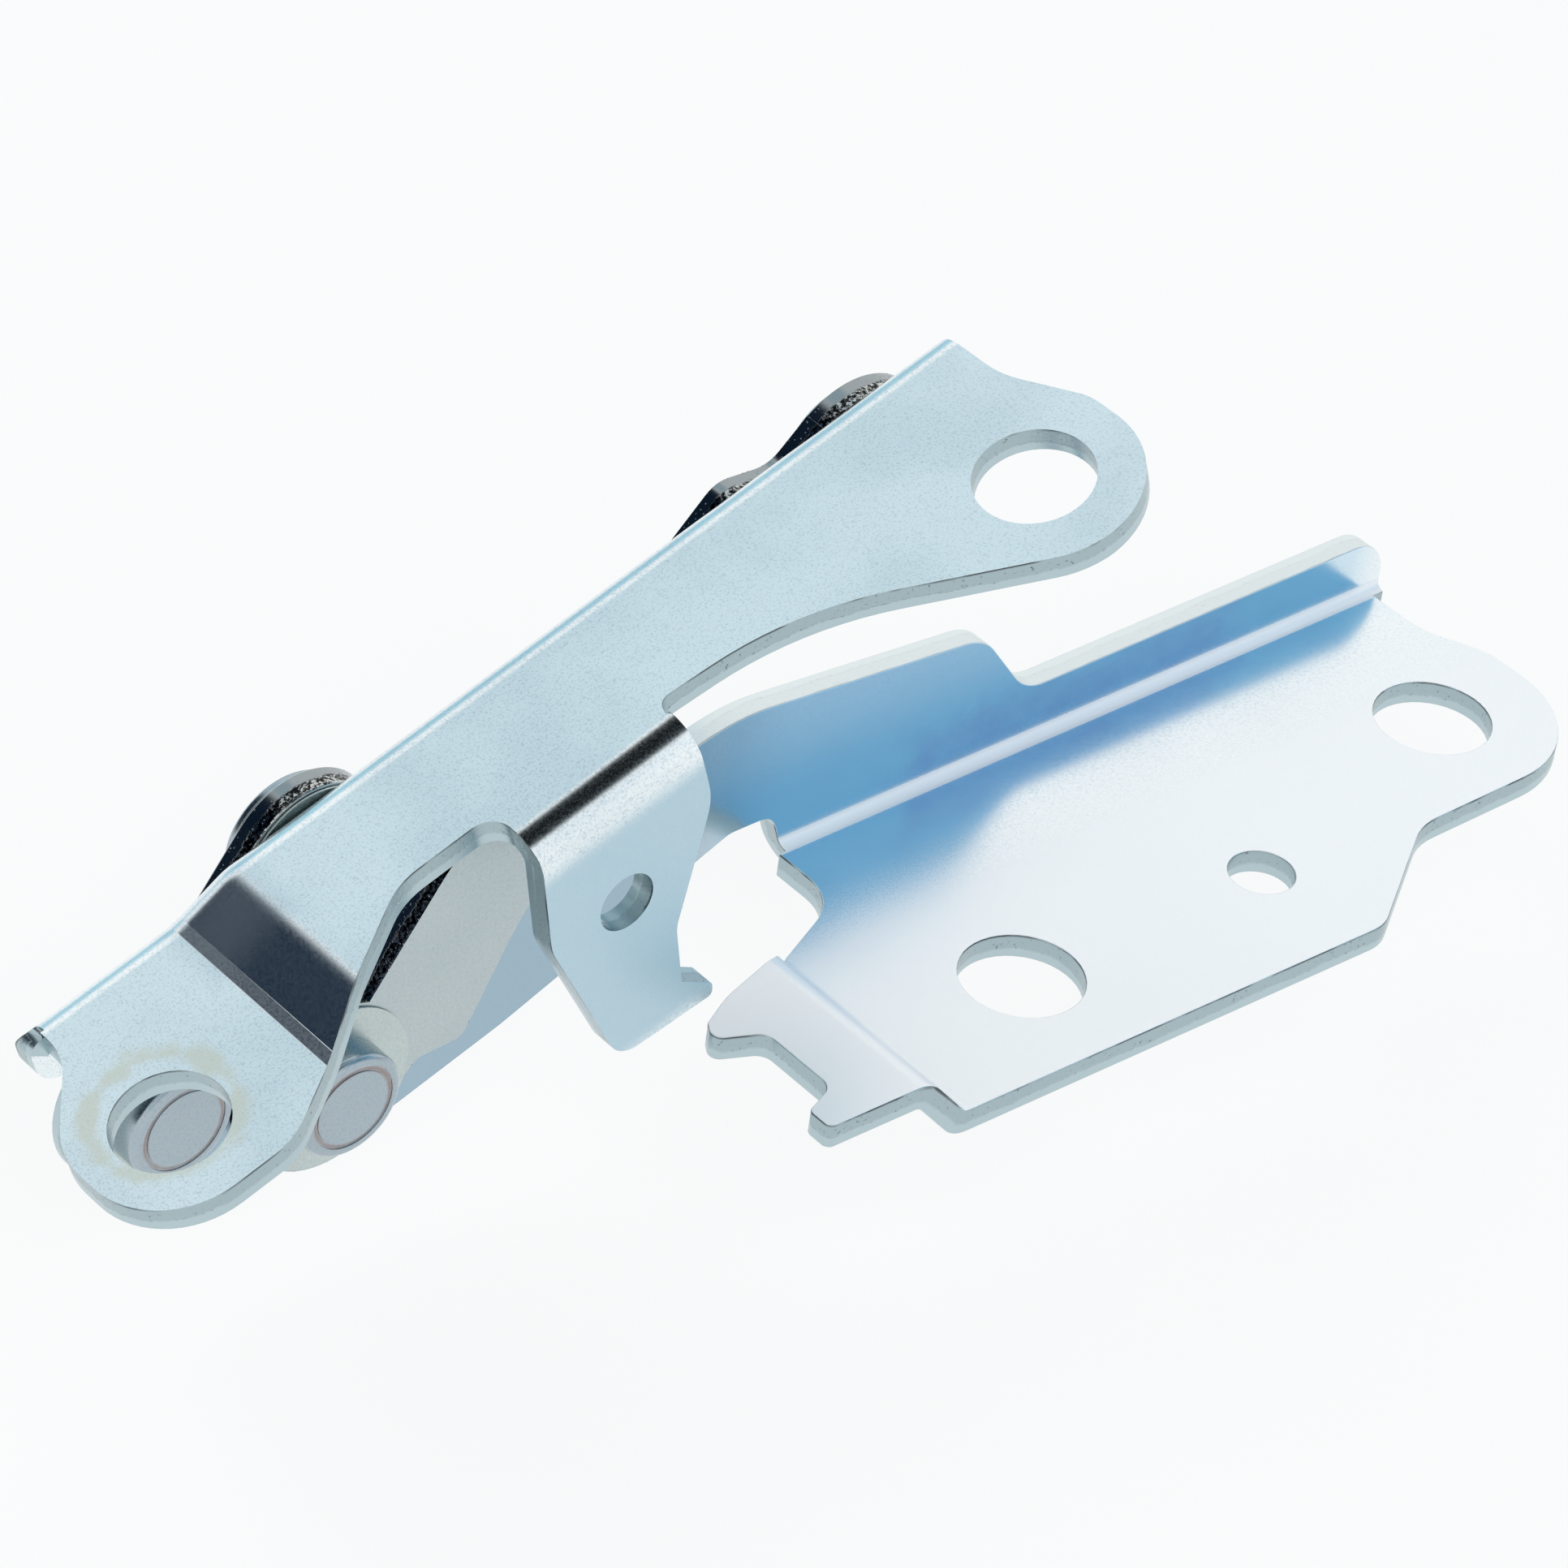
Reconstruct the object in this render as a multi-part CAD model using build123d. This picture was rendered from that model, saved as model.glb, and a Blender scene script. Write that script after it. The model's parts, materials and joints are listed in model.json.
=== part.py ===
from build123d import *
from math import atan2, cos, degrees, hypot, radians, sin, tan
import os

# Hood hinge in its closed pose, millimetres.
# Origin: axis of the lower plate's front fixing hole, on the plate's underside.
# +X runs back along the fold, +Y towards the folded flange, +Z up. Pivot axes are parallel to Y.
# Corners are pairs, named for where they lie; the radius of a corner has the same name with ROUND.

# Sheet steel
SHEET = 2.8
LINK_SHEET = 2.8
BEND_RADIUS = 1.0

# Pivot axes as (X, Z)
MAIN_LOWER = (-67.4, 0.0)
SHORT_LOWER = (-88.3, 7.0)
SHORT_UPPER = (-72.3, 30.5)
MAIN_UPPER = (-5.9, 51.4)

# Layers across the stack, measured along Y
ARM_NEAR_Y = 29.6
ARM_FAR_Y = ARM_NEAR_Y + SHEET
LAYER_GAP = 0.3
LINK_FAR_Y = ARM_NEAR_Y - LAYER_GAP
LINK_NEAR_Y = LINK_FAR_Y - LINK_SHEET
WING_FAR_Y = LINK_NEAR_Y - LAYER_GAP
WING_NEAR_Y = WING_FAR_Y - SHEET

# Clearances
FACE_CLEARANCE = 0.05
RUNNING_CLEARANCE = 0.05
SEAT_CLEARANCE = 0.01
OPEN_PIVOT_PLAY = 3.35

# Lower plate: holes, then its corners in plan (X, Y) from the rear round the near side to the relief
LOWER_FRONT_HOLE = (0.0, 0.0)
LOWER_FRONT_HOLE_RADIUS = 6.6
LOWER_REAR_HOLE = (68.4, 8.7)
LOWER_REAR_HOLE_RADIUS = 6.5
LOCATING_HOLE = (33.2, -0.9)
LOCATING_HOLE_RADIUS = 3.6
LOWER_REAR_END_X = 82.65
REAR_CORNER_INSET = 1.6
REAR_CORNER_Y = 21.0
REAR_CORNER_ROUND = 10.0
REAR_LOBE_FAR_Y = 14.0
REAR_LOBE_FAR_ROUND = 8.0
REAR_LOBE_NEAR_Y = -4.25
REAR_LOBE_NEAR_ROUND = 13.2
SLOPE_REAR_X = 53.6
SLOPE_REAR_ROUND = 8.0
SLOPE_FRONT_X = 38.1
SLOPE_FRONT_ROUND = 5.0
LOWER_NEAR_Y = -14.35

# Tongue at the plate's front end
TONGUE_RISE = 6.0
TONGUE_FOOT_X = -19.8
TONGUE_HEAD_X = -25.1
TONGUE_BEND_RADIUS = 1.2
TONGUE_FRONT_X = -37.5
TONGUE_NEAR_Y = -12.3
TONGUE_LIP_Y = -9.2
TONGUE_LIP_ROUND = 0.9
NOTCH_X = -33.35
NOTCH_NEAR_Y = -7.6
NOTCH_FAR_Y = 1.9
NOTCH_ROUND = 1.8
HOOK_NEAR = (-38.6, 4.2)
HOOK_FAR = (-37.2, 6.4)
HOOK_ROUND = 1.2
TONGUE_SHOULDER = (-33.0, 8.5)
TONGUE_SHOULDER_ROUND = 15.0
TONGUE_WAIST = (-24.6, 10.9)
TONGUE_ROOT = (-18.6, 15.2)
TONGUE_WAIST_ROUND = 4.0
RELIEF_CORNER = (-7.95, 19.9)
RELIEF_CORNER_ROUND = 6.4

# Flange: corners in side view (X, Z) from the rear to the arm
RELIEF_X = -8.6
FLANGE_SETBACK = 1.9
FLANGE_STEP_Z = 9.7
FLANGE_REAR_ROUND = 5.0
STEP_FOOT_X = 26.3
STEP_HEAD = (18.8, 19.35)
STEP_ROUND = 6.0
FLANGE_PEAK = (-16.5, 22.7)
FLANGE_PEAK_ROUND = 25.0
RELIEF_TOP_Z = 7.35
RELIEF_FRONT_X = -14.4
RELIEF_FRONT_ROUND = 3.0
RELIEF_REAR_ROUND = 2.5
RELIEF_FOOT_X = -6.1

# Arm: corners as (X, Z) distances from the pivot that they surround
ARM_DIP_FROM_MAIN = (7.8, 5.85)
ARM_DIP_ROUND = 3.0
ARM_SHOULDER_FROM_MAIN = (3.2, 8.6)
ARM_SHOULDER_ROUND = 6.0
ARM_CHIN_FROM_MAIN = (4.9, -12.0)
ARM_CHIN_ROUND = 20.0
ARM_BELLY_FROM_MAIN = (24.4, -5.05)
ARM_BELLY_ROUND = 40.0
ARM_FRONT_REACH = 8.4
ARM_TOP_REACH = 10.2
ARM_BOTTOM_REACH = 9.5
ARM_FRONT_ROUND = 9.5

# Upper bracket, set in its own tilted frame: S along the plate, N square to it
TILT = 19.57
UPPER_TOP = 62.1
UPPER_FOLD_RADIUS = 3.6

# Drop of the front end: a ramp, then a narrow flatter band at its foot
UPPER_DROP = 2.0
DROP_START_S = -67.6
DROP_RUN = 6.0
DROP_CREST_RADIUS = 8.0
DROP_FOOT_RADIUS = 1.0
FOOT_BAND_RUN = 1.3
FOOT_BAND_DROP = 0.25

# Upper plate: holes, then its corners in plan (S, Y) from the rear round the near side
UPPER_REAR_HOLE = (15.7, 4.2)
UPPER_REAR_HOLE_RADIUS = 6.1
UPPER_FRONT_HOLE = (-88.75, 6.2)
UPPER_FRONT_HOLE_RADIUS = 5.8
UPPER_REAR_CORNER_Y = 16.6
UPPER_REAR_CORNER_ROUND = 10.0
REAR_LOBE_RADIUS = 10.9
REAR_LOBE_REACH = 10.7
REAR_LOBE_CORNER_Y = 7.9
REAR_LOBE_CORNER_ROUND = 6.0
REAR_LOBE_FRONT_REACH = 3.1
WAIST = (-11.0, 8.65)
WAIST_ROUND = 38.0
TAB_ROOT_Y = 9.7
TAB_ROOT_INSET = 0.5
TAB_ROOT_ROUND = 1.6
NECK_Y = 10.8
NECK_REAR_ROUND = 2.6
NECK_FRONT_S = -57.9
NECK_FRONT_ROUND = 9.0
FRONT_LOBE_RADIUS = 10.1
FRONT_LOBE_REACH = 9.4
FRONT_LOBE_REAR_REACH = 6.65
FRONT_LOBE_REAR_ROUND = 8.0
FRONT_LOBE_FRONT_ROUND = 9.3
FRONT_LOBE_FAR_Y = 10.7
FRONT_LOBE_FAR_ROUND = 9.0
FRONT_CORNER_REACH = 2.1
FRONT_CORNER_Y = 19.7
FRONT_CORNER_ROUND = 7.0
FRONT_END_REACH = 1.8

# Wing: corners in side view (S, N) from the rear, as distances from the pivots that it carries
WING_REAR_S = 22.55
MAIN_PAD_DROP = 9.2
MAIN_PAD_REAR_ROUND = 9.0
MAIN_PAD_FRONT_REACH = 7.5
MAIN_PAD_SLOPE_REACH = 14.5
MAIN_PAD_FRONT_ROUND = 8.0
WING_WAIST_HEIGHT = 46.9
SHORT_PAD_DROP = 8.6
SHORT_PAD_SLOPE_REACH = 7.6
SHORT_PAD_SLOPE_ROUND = 3.0
SHORT_PAD_REAR_REACH = 4.4
SHORT_PAD_REAR_ROUND = 5.0
SHORT_PAD_FRONT_REACH = 4.8
SHORT_PAD_FRONT_ROUND = 7.0
LIP_REAR_REACH = 11.0
LIP_REAR_ROUND = 8.0
LIP_BOTTOM_HEIGHT = 53.0
LIP_TOP_HEIGHT = 59.1
LIP_FRONT_REACH = 3.75
LIP_BOTTOM_ROUND = 3.0
LIP_TOP_ROUND = 1.5
LIP_ROOT_REACH = 1.6
LIP_ROOT_ROUND = 0.4

# Tab: corners in side view (S, N) from its rear edge down to the hook and up its front edge
TAB_FACE_Y = 4.0
TAB_FOLD_RADIUS = 4.0
TAB_HOLE = (-38.8, 47.6)
TAB_HOLE_RADIUS = 3.2
TAB_REAR_S = -27.6
TAB_REAR_BULGE = (-27.1, 52.4)
TAB_REAR_BULGE_ROUND = 8.0
TAB_REAR_TAPER = (-34.25, 39.6)
TAB_REAR_TAPER_ROUND = 4.0
TAB_THROAT = (-35.15, 32.1)
TAB_THROAT_ROUND = 0.5
TAB_HOOK = (-31.9, 28.9)
TAB_HOOK_HEEL = (-32.2, 27.4)
TAB_HOOK_ROUND = 0.7
TAB_TOE = (-43.9, 28.4)
TAB_TOE_ROUND = 3.2
TAB_FRONT_BULGE = (-47.85, 48.4)
TAB_FRONT_BULGE_ROUND = 6.0
TAB_FRONT_S = -46.4
TAB_FRONT_TOP_HEIGHT = 60.0

# Main link: eyes, then corners of the shank as (X, Z) distances from the pivot nearer to them
MAIN_LOWER_EYE_RADIUS = 9.8
MAIN_UPPER_EYE_RADIUS = 9.15
SHANK_START_FROM_LOWER = (-1.4, 1.0)
SHANK_FRONT_FROM_LOWER = (12.8, 22.2)
SHANK_FRONT_ROUND = 25.0
BUMP_FROM_UPPER = (-17.5, 3.0)
BUMP_ROUND = 3.5
DIP_FROM_UPPER = (-10.7, 2.6)
DIP_ROUND = 4.0
EYE_TOP_FROM_UPPER = (-6.3, 6.8)
EYE_BOTTOM_FROM_UPPER = (-3.2, -8.6)
SHANK_BEND_FROM_UPPER = (-12.6, -11.9)
SHANK_BEND_ROUND = 8.0
SHANK_REAR_FROM_LOWER = (23.5, 13.5)
SHANK_REAR_ROUND = 30.0
HEEL_FROM_LOWER = (16.5, -0.9)
HEEL_ROUND = 1.6
HEEL_FRONT_FROM_LOWER = (10.7, -1.2)
HEEL_FRONT_ROUND = 2.0
EYE_REAR_FROM_LOWER = (8.2, -4.5)

# Short link
SHORT_EYE_RADIUS = 8.4

# Rivets
LOWER_HEAD_RADIUS = 6.0
LOWER_HEAD_HEIGHT = 3.4
UPSET_HEAD_RADIUS = 6.2
UPSET_HEAD_HEIGHT = 1.8
UPPER_HEAD_RADIUS = 7.1
UPPER_HEAD_HEIGHT = 1.55
OPEN_UPSET_RADIUS = 4.5
HEAD_EDGE_RADIUS = 0.8
UPPER_HEAD_EDGE_RADIUS = 0.4
MARK_INSET = 1.2
MARK_WIDTH = 0.5
MARK_DEPTH = 0.15
BEARING_RADIUS = 4.0
NECK_RADIUS = 3.5
OPEN_SHANK_RADIUS = 2.7

# Bushes and washers
BUSH_WALL = 0.9
SPACER_THICKNESS = 0.25
BUSH_FLANGE_RADIUS = 8.0
LOWER_WASHER_RADIUS = 9.4
SHORT_WASHER_RADIUS = 8.6
UPPER_WASHER_RADIUS = 8.1

# Trimming reach beyond the metal
REACH = 60.0


def outline(corners):
    """Flat face whose corners are (point, corner radius)."""
    points = [point for point, radius in corners]
    radii = [radius for point, radius in corners]
    with BuildSketch() as sketch:
        with BuildLine():
            FilletPolyline(*points, radius=radii, close=True)
        make_face()
    return sketch.sketch


def moved(start, offset):
    """Point at a given distance from another."""
    return start[0] + offset[0], start[1] + offset[1]


def side_slab(face, near_y, far_y):
    """Solid from a face drawn in X and Z, filling Y between two values."""
    plane = Plane(origin=(0, far_y, 0), x_dir=(1, 0, 0), z_dir=(0, -1, 0))
    return plane * extrude(face, far_y - near_y)


def plan_slab(face, low_z, high_z):
    """Solid from a face drawn in X and Y, filling Z between two values."""
    return Pos(0, 0, low_z) * extrude(face, high_z - low_z)


def section_bar(face, start_x, end_x):
    """Solid from a face drawn in Y and Z, filling X between two values."""
    plane = Plane(origin=(start_x, 0, 0), x_dir=(0, 1, 0), z_dir=(1, 0, 0))
    return plane * extrude(face, end_x - start_x)


def bent_strip(points, bend_radius, thickness):
    """Cross-section of bent sheet from the centre line of its thickness."""
    with BuildSketch() as sketch:
        with BuildLine():
            FilletPolyline(*points, radius=bend_radius)
            offset(amount=thickness / 2, side=Side.BOTH)
        make_face()
    return sketch.sketch


def round_hole(center, radius):
    """Cutter square to the XY plane."""
    return Pos(center[0], center[1], 0) * Cylinder(radius, 4 * REACH)


def block(low, high):
    """Box between two opposite corners."""
    size = [h - l for l, h in zip(low, high)]
    return Pos(*low) * Box(*size, align=(Align.MIN, Align.MIN, Align.MIN))


def at_pivot(pivot, part):
    """Turns a part drawn along Z so that it lies along Y on a pivot axis."""
    return Plane(origin=(pivot[0], 0, pivot[1]), x_dir=(1, 0, 0), z_dir=(0, 1, 0)) * part


def disc(radius, start, end):
    """Round disc along Z."""
    return Pos(0, 0, start) * Cylinder(radius, end - start, align=(Align.CENTER, Align.CENTER, Align.MIN))


def ring(outer, inner, start, end):
    """Flat ring along Z."""
    return disc(outer, start, end) - disc(inner, start, end)


def flange_rear_x():
    """Rear end of the flange."""
    return LOWER_REAR_END_X - FLANGE_SETBACK


def lower_plate_outline():
    """Plan of the lower plate and its tongue."""
    corner_x = flange_rear_x() - REAR_CORNER_INSET
    return outline([
        ((corner_x, REACH), 0),
        ((corner_x, REAR_CORNER_Y), REAR_CORNER_ROUND),
        ((LOWER_REAR_END_X, REAR_LOBE_FAR_Y), REAR_LOBE_FAR_ROUND),
        ((LOWER_REAR_END_X, REAR_LOBE_NEAR_Y), REAR_LOBE_NEAR_ROUND),
        ((SLOPE_REAR_X, REAR_LOBE_NEAR_Y), SLOPE_REAR_ROUND),
        ((SLOPE_FRONT_X, LOWER_NEAR_Y), SLOPE_FRONT_ROUND),
        ((TONGUE_FRONT_X, TONGUE_NEAR_Y), TONGUE_LIP_ROUND),
        ((TONGUE_FRONT_X, TONGUE_LIP_Y), TONGUE_LIP_ROUND),
        ((NOTCH_X, NOTCH_NEAR_Y), NOTCH_ROUND),
        ((NOTCH_X, NOTCH_FAR_Y), NOTCH_ROUND),
        (HOOK_NEAR, HOOK_ROUND),
        (HOOK_FAR, HOOK_ROUND),
        (TONGUE_SHOULDER, TONGUE_SHOULDER_ROUND),
        (TONGUE_WAIST, TONGUE_WAIST_ROUND),
        (TONGUE_ROOT, TONGUE_WAIST_ROUND),
        (RELIEF_CORNER, RELIEF_CORNER_ROUND),
        ((RELIEF_CORNER[0], REACH), 0),
    ])


def flange_outline():
    """Side view of the lower bracket's flange and the arm that carries the lower pivots."""
    arm_front_x = SHORT_LOWER[0] - ARM_FRONT_REACH
    return outline([
        ((flange_rear_x(), 0), 0),
        ((flange_rear_x(), FLANGE_STEP_Z), FLANGE_REAR_ROUND),
        ((STEP_FOOT_X, FLANGE_STEP_Z), STEP_ROUND),
        (STEP_HEAD, STEP_ROUND),
        (FLANGE_PEAK, FLANGE_PEAK_ROUND),
        (moved(MAIN_LOWER, ARM_DIP_FROM_MAIN), ARM_DIP_ROUND),
        (moved(MAIN_LOWER, ARM_SHOULDER_FROM_MAIN), ARM_SHOULDER_ROUND),
        ((arm_front_x, SHORT_LOWER[1] + ARM_TOP_REACH), ARM_FRONT_ROUND),
        ((arm_front_x, SHORT_LOWER[1] - ARM_BOTTOM_REACH), ARM_FRONT_ROUND),
        (moved(MAIN_LOWER, ARM_CHIN_FROM_MAIN), ARM_CHIN_ROUND),
        (moved(MAIN_LOWER, ARM_BELLY_FROM_MAIN), ARM_BELLY_ROUND),
        ((RELIEF_FRONT_X, RELIEF_TOP_Z), RELIEF_FRONT_ROUND),
        ((RELIEF_X, RELIEF_TOP_Z), RELIEF_REAR_ROUND),
        ((RELIEF_FOOT_X, 0), 0),
    ])


def lower_plate():
    """Flat plate with the raised tongue at its front end."""
    middle = SHEET / 2
    profile = bent_strip(
        [(REACH + REACH, middle), (TONGUE_FOOT_X, middle),
         (TONGUE_HEAD_X, middle + TONGUE_RISE), (-REACH, middle + TONGUE_RISE)],
        TONGUE_BEND_RADIUS + middle, SHEET)
    strip = side_slab(profile, -REACH, ARM_NEAR_Y - BEND_RADIUS)
    return strip & plan_slab(lower_plate_outline(), -REACH, REACH)


def lower_flange():
    """Upright flange, its fold and the forward arm."""
    middle = SHEET / 2
    section = bent_strip(
        [(ARM_NEAR_Y - BEND_RADIUS - SHEET, middle), (ARM_NEAR_Y + middle, middle), (ARM_NEAR_Y + middle, REACH)],
        BEND_RADIUS + middle, SHEET)
    folded = section_bar(section, RELIEF_X, 2 * REACH)
    folded &= block((RELIEF_X, ARM_NEAR_Y - BEND_RADIUS, 0), (2 * REACH, ARM_FAR_Y, REACH))
    arm = block((-2 * REACH, ARM_NEAR_Y, -REACH), (RELIEF_X, ARM_FAR_Y, REACH))
    return (folded + arm) & side_slab(flange_outline(), 0, REACH)


def lower_bracket():
    """Pressing that is bolted to the body."""
    body = lower_plate() + lower_flange()
    body -= round_hole(LOWER_FRONT_HOLE, LOWER_FRONT_HOLE_RADIUS)
    body -= round_hole(LOWER_REAR_HOLE, LOWER_REAR_HOLE_RADIUS)
    body -= round_hole(LOCATING_HOLE, LOCATING_HOLE_RADIUS)
    for pivot in (MAIN_LOWER, SHORT_LOWER):
        body -= at_pivot(pivot, disc(NECK_RADIUS + SEAT_CLEARANCE, ARM_NEAR_Y, ARM_FAR_Y))
    return body


def tilted(part):
    """Moves a part from the upper bracket's own frame to the hinge's frame."""
    return Rot(0, -TILT, 0) * part


def to_tilted(pivot):
    """Pivot axis in the upper bracket's own frame."""
    along = pivot[0] * cos(radians(TILT)) + pivot[1] * sin(radians(TILT))
    square = -pivot[0] * sin(radians(TILT)) + pivot[1] * cos(radians(TILT))
    return along, square


def upper_plate_outline():
    """Plan of the upper plate with its two fixing lobes."""
    rear_s = UPPER_REAR_HOLE[0] + REAR_LOBE_REACH
    rear_near_y = UPPER_REAR_HOLE[1] - REAR_LOBE_RADIUS
    hole_s, hole_y = UPPER_FRONT_HOLE
    front_s = hole_s - FRONT_LOBE_REACH
    front_near_y = hole_y - FRONT_LOBE_RADIUS
    tab_start_y = TAB_FACE_Y + TAB_FOLD_RADIUS
    return outline([
        ((WING_REAR_S, REACH), 0),
        ((WING_REAR_S, UPPER_REAR_CORNER_Y), UPPER_REAR_CORNER_ROUND),
        ((rear_s, REAR_LOBE_CORNER_Y), REAR_LOBE_CORNER_ROUND),
        ((rear_s, rear_near_y), REAR_LOBE_RADIUS),
        ((UPPER_REAR_HOLE[0] - REAR_LOBE_FRONT_REACH, rear_near_y), REAR_LOBE_RADIUS),
        (WAIST, WAIST_ROUND),
        ((TAB_REAR_S + TAB_ROOT_INSET, TAB_ROOT_Y), TAB_ROOT_ROUND),
        ((TAB_REAR_S, tab_start_y), 0),
        ((TAB_FRONT_S, tab_start_y), 0),
        ((TAB_FRONT_S, NECK_Y), NECK_REAR_ROUND),
        ((NECK_FRONT_S, NECK_Y), NECK_FRONT_ROUND),
        ((hole_s + FRONT_LOBE_REAR_REACH, front_near_y), FRONT_LOBE_REAR_ROUND),
        ((front_s, front_near_y), FRONT_LOBE_FRONT_ROUND),
        ((front_s, FRONT_LOBE_FAR_Y), FRONT_LOBE_FAR_ROUND),
        ((hole_s - FRONT_CORNER_REACH, FRONT_CORNER_Y), FRONT_CORNER_ROUND),
        ((hole_s - FRONT_END_REACH, REACH), 0),
    ])


def wing_outline():
    """Side view of the upper bracket's folded wing."""
    main_s, main_n = to_tilted(MAIN_UPPER)
    short_s, short_n = to_tilted(SHORT_UPPER)
    main_bottom = main_n - MAIN_PAD_DROP
    short_bottom = short_n - SHORT_PAD_DROP
    lip_front_s = UPPER_FRONT_HOLE[0] - LIP_FRONT_REACH
    lip_root_s = UPPER_FRONT_HOLE[0] - LIP_ROOT_REACH
    return outline([
        ((WING_REAR_S, 2 * REACH), 0),
        ((WING_REAR_S, main_bottom), MAIN_PAD_REAR_ROUND),
        ((main_s - MAIN_PAD_FRONT_REACH, main_bottom), MAIN_PAD_FRONT_ROUND),
        ((main_s - MAIN_PAD_SLOPE_REACH, WING_WAIST_HEIGHT), MAIN_PAD_FRONT_ROUND),
        ((short_s + SHORT_PAD_SLOPE_REACH, WING_WAIST_HEIGHT), SHORT_PAD_SLOPE_ROUND),
        ((short_s + SHORT_PAD_REAR_REACH, short_bottom), SHORT_PAD_REAR_ROUND),
        ((short_s - SHORT_PAD_FRONT_REACH, short_bottom), SHORT_PAD_FRONT_ROUND),
        ((short_s - LIP_REAR_REACH, LIP_BOTTOM_HEIGHT), LIP_REAR_ROUND),
        ((lip_front_s, LIP_BOTTOM_HEIGHT), LIP_BOTTOM_ROUND),
        ((lip_front_s, LIP_TOP_HEIGHT), LIP_TOP_ROUND),
        ((lip_root_s, LIP_TOP_HEIGHT), LIP_ROOT_ROUND),
        ((lip_root_s, 2 * REACH), 0),
    ])


def under_curve(depth):
    """Side view of everything below the stepped plate, a given depth under its surface."""
    top = UPPER_TOP - depth
    ramp_angle = atan2(UPPER_DROP - FOOT_BAND_DROP, DROP_RUN)
    band_angle = atan2(FOOT_BAND_DROP, FOOT_BAND_RUN)
    band_s = DROP_START_S - DROP_RUN
    foot_s = band_s - FOOT_BAND_RUN
    crest_shift = depth * tan(ramp_angle / 2)
    band_shift = depth * tan((ramp_angle + band_angle) / 2)
    foot_shift = depth * tan(band_angle / 2)
    return outline([
        ((REACH, 0), 0),
        ((REACH, top), 0),
        ((DROP_START_S + crest_shift, top), DROP_CREST_RADIUS - depth),
        ((band_s + band_shift, top - UPPER_DROP + FOOT_BAND_DROP), DROP_FOOT_RADIUS + depth),
        ((foot_s + foot_shift, top - UPPER_DROP), DROP_FOOT_RADIUS + depth),
        ((-2 * REACH, top - UPPER_DROP), 0),
        ((-2 * REACH, 0), 0),
    ])


def folded_block(depth, far_y, fold_radius):
    """Block with a rounded fold along its far upper edge."""
    raw = side_slab(under_curve(depth), -REACH, far_y)
    ridge = raw.edges().filter_by(
        lambda edge: abs(edge.center().Y - far_y) < SEAT_CLEARANCE
        and edge.center().Z > UPPER_TOP - depth - UPPER_DROP - SEAT_CLEARANCE)
    return fillet(ridge, fold_radius)


def tab_outline():
    """Side view of the tab with the hook at its lower end."""
    return outline([
        ((TAB_REAR_S, 2 * REACH), 0),
        (TAB_REAR_BULGE, TAB_REAR_BULGE_ROUND),
        (TAB_REAR_TAPER, TAB_REAR_TAPER_ROUND),
        (TAB_THROAT, TAB_THROAT_ROUND),
        (TAB_HOOK, TAB_HOOK_ROUND),
        (TAB_HOOK_HEEL, TAB_HOOK_ROUND),
        (TAB_TOE, TAB_TOE_ROUND),
        (TAB_FRONT_BULGE, TAB_FRONT_BULGE_ROUND),
        ((TAB_FRONT_S, TAB_FRONT_TOP_HEIGHT), 0),
        ((TAB_FRONT_S, 2 * REACH), 0),
    ])


def upper_tab():
    """Downward tab on the near side."""
    middle = SHEET / 2
    tab_start_y = TAB_FACE_Y + TAB_FOLD_RADIUS
    section = bent_strip(
        [(tab_start_y + SHEET, UPPER_TOP - middle),
         (TAB_FACE_Y + middle, UPPER_TOP - middle), (TAB_FACE_Y + middle, 0)],
        TAB_FOLD_RADIUS - middle, SHEET)
    tab = section_bar(section, -REACH, 0) & side_slab(tab_outline(), 0, tab_start_y)
    return tab - side_slab(Pos(*TAB_HOLE) * Circle(TAB_HOLE_RADIUS), 0, tab_start_y)


def upper_bracket():
    """Pressing that is bolted to the hood."""
    inner_radius = UPPER_FOLD_RADIUS - SHEET
    shell = folded_block(0, WING_FAR_Y, UPPER_FOLD_RADIUS) - folded_block(SHEET, WING_NEAR_Y, inner_radius)
    plate = shell & plan_slab(upper_plate_outline(), 0, 2 * REACH)
    plate &= block((-2 * REACH, -REACH, 0), (REACH, WING_NEAR_Y, 2 * REACH))
    wing = shell & side_slab(wing_outline(), WING_NEAR_Y, WING_FAR_Y)
    body = plate + wing + upper_tab()
    body -= round_hole(UPPER_REAR_HOLE, UPPER_REAR_HOLE_RADIUS)
    body -= round_hole(UPPER_FRONT_HOLE, UPPER_FRONT_HOLE_RADIUS)
    body -= at_pivot(to_tilted(MAIN_UPPER), disc(NECK_RADIUS + SEAT_CLEARANCE, WING_NEAR_Y, WING_FAR_Y))
    body -= at_pivot(to_tilted(SHORT_UPPER), disc(OPEN_SHANK_RADIUS + SEAT_CLEARANCE, WING_NEAR_Y, WING_FAR_Y))
    return tilted(body)


def eye(pivot, radius):
    """Round end of a link in side view."""
    return Pos(*pivot) * Circle(radius)


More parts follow.
